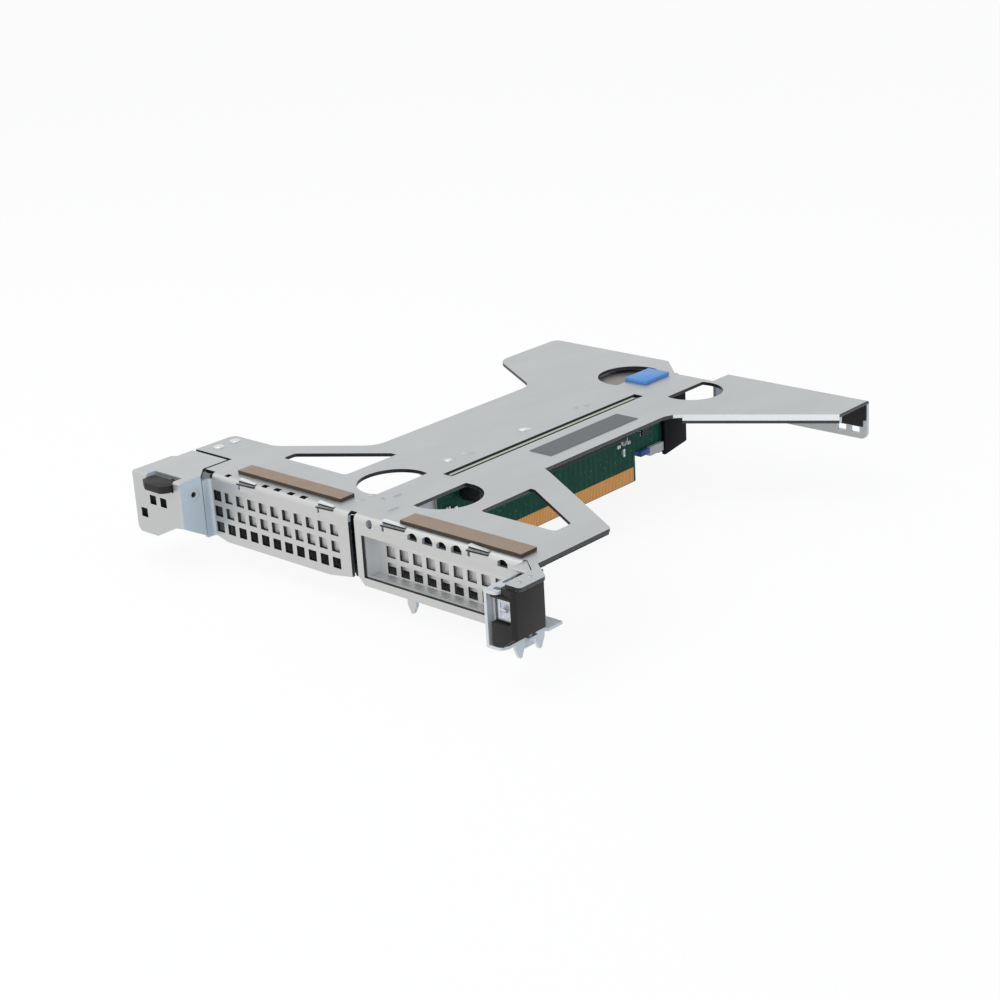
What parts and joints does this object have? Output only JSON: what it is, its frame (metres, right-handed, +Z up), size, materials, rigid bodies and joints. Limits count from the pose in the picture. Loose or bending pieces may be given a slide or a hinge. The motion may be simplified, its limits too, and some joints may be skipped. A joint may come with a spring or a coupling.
{
  "type": "server riser cage bracket",
  "caption": "Folded sheet-metal riser cage with card bays at the front, a riser board under its slotted plate, card latches and a rear arm.",
  "frame": {"origin": "middle of the outline seen from above, on the surface that the card-edge tongue stands on", "axes": "+Z up, out of the plate; +Y from the card bays to the rear arm; +X to the right seen from the bays"},
  "size_m": [0.215, 0.2428, 0.0406],
  "materials": {
    "sheet_steel": "satin zinc",
    "bracket_steel": "satin zinc",
    "pin_steel": "bright",
    "black_plastic": "matte",
    "socket_plastic": "matte",
    "blue_plastic": "satin",
    "light_plastic": "matte",
    "board_green": "satin lacquer",
    "gold": "satin",
    "chip_parts": "matte",
    "tan_foam": "matte",
    "dark_field": "matte",
    "black_film": "matte"
  },
  "bodies": {
    "cage": {"arm_film": "black_film", "bay_divider": "bracket_steel", "blue_header": "blue_plastic", "board_bracket": "bracket_steel", "board_parts": "chip_parts", "board_screws": "pin_steel", "bracket_rivets": "pin_steel", "cage_plate": "sheet_steel", "ear_bracket": "bracket_steel", "ear_latch_pin": "pin_steel", "ear_rivets": "pin_steel", "edge_contacts": "gold", "end_bracket": "bracket_steel", "end_latch_pin": "pin_steel", "finger_tray": "sheet_steel", "foam_strip_left": "tan_foam", "foam_strip_right": "tan_foam", "fold_film": "black_film", "left_blank": "sheet_steel", "left_card_connector": "socket_plastic", "left_film": "black_film", "name_field": "dark_field", "power_header": "light_plastic", "rear_guide": "black_plastic", "right_blank": "sheet_steel", "right_card_connector": "socket_plastic", "right_filler": "bracket_steel", "right_film": "black_film", "riser_board": "board_green", "touch_tab": "blue_plastic"},
    "end_latch": {"end_latch": "black_plastic"},
    "ear_latch": {"ear_latch": "black_plastic"}
  },
  "joints": [
    {"name": "end_latch_swing", "type": "hinge", "parent": "cage", "child": "end_latch", "pos_m": [0.0991, -0.10645, 0.02595], "axis": [0, 0, 1], "range_deg": [0, 80]},
    {"name": "ear_latch_tilt", "type": "hinge", "parent": "cage", "child": "ear_latch", "pos_m": [-0.09005, -0.09705, 0.0324], "axis": [-1, 0, 0], "range_deg": [0, 5]}
  ]
}
